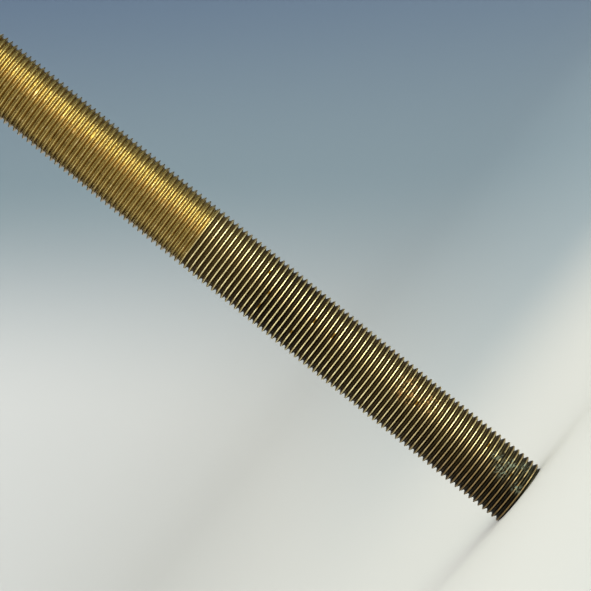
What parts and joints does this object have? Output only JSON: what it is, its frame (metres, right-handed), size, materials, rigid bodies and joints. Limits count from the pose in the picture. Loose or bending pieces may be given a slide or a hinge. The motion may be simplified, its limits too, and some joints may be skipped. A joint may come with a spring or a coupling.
{
  "type": "threaded tube",
  "caption": "Straight brass tube with a fine right-hand outside thread from end to end, square-cut ends and a plain open bore.",
  "frame": {"origin": "centre of the sawn end on which the tube stands, on its axis", "axes": "+Z along the tube's axis, from that end to the other; the tube is round about Z, so X and Y are free"},
  "size_m": [0.0118, 0.0118, 0.12],
  "materials": {
    "brass": "cut thread, bright on one part of the length, tarnished brown with green spots on the other"
  },
  "bodies": {
    "root": {"threaded_tube": "brass"}
  },
  "joints": []
}
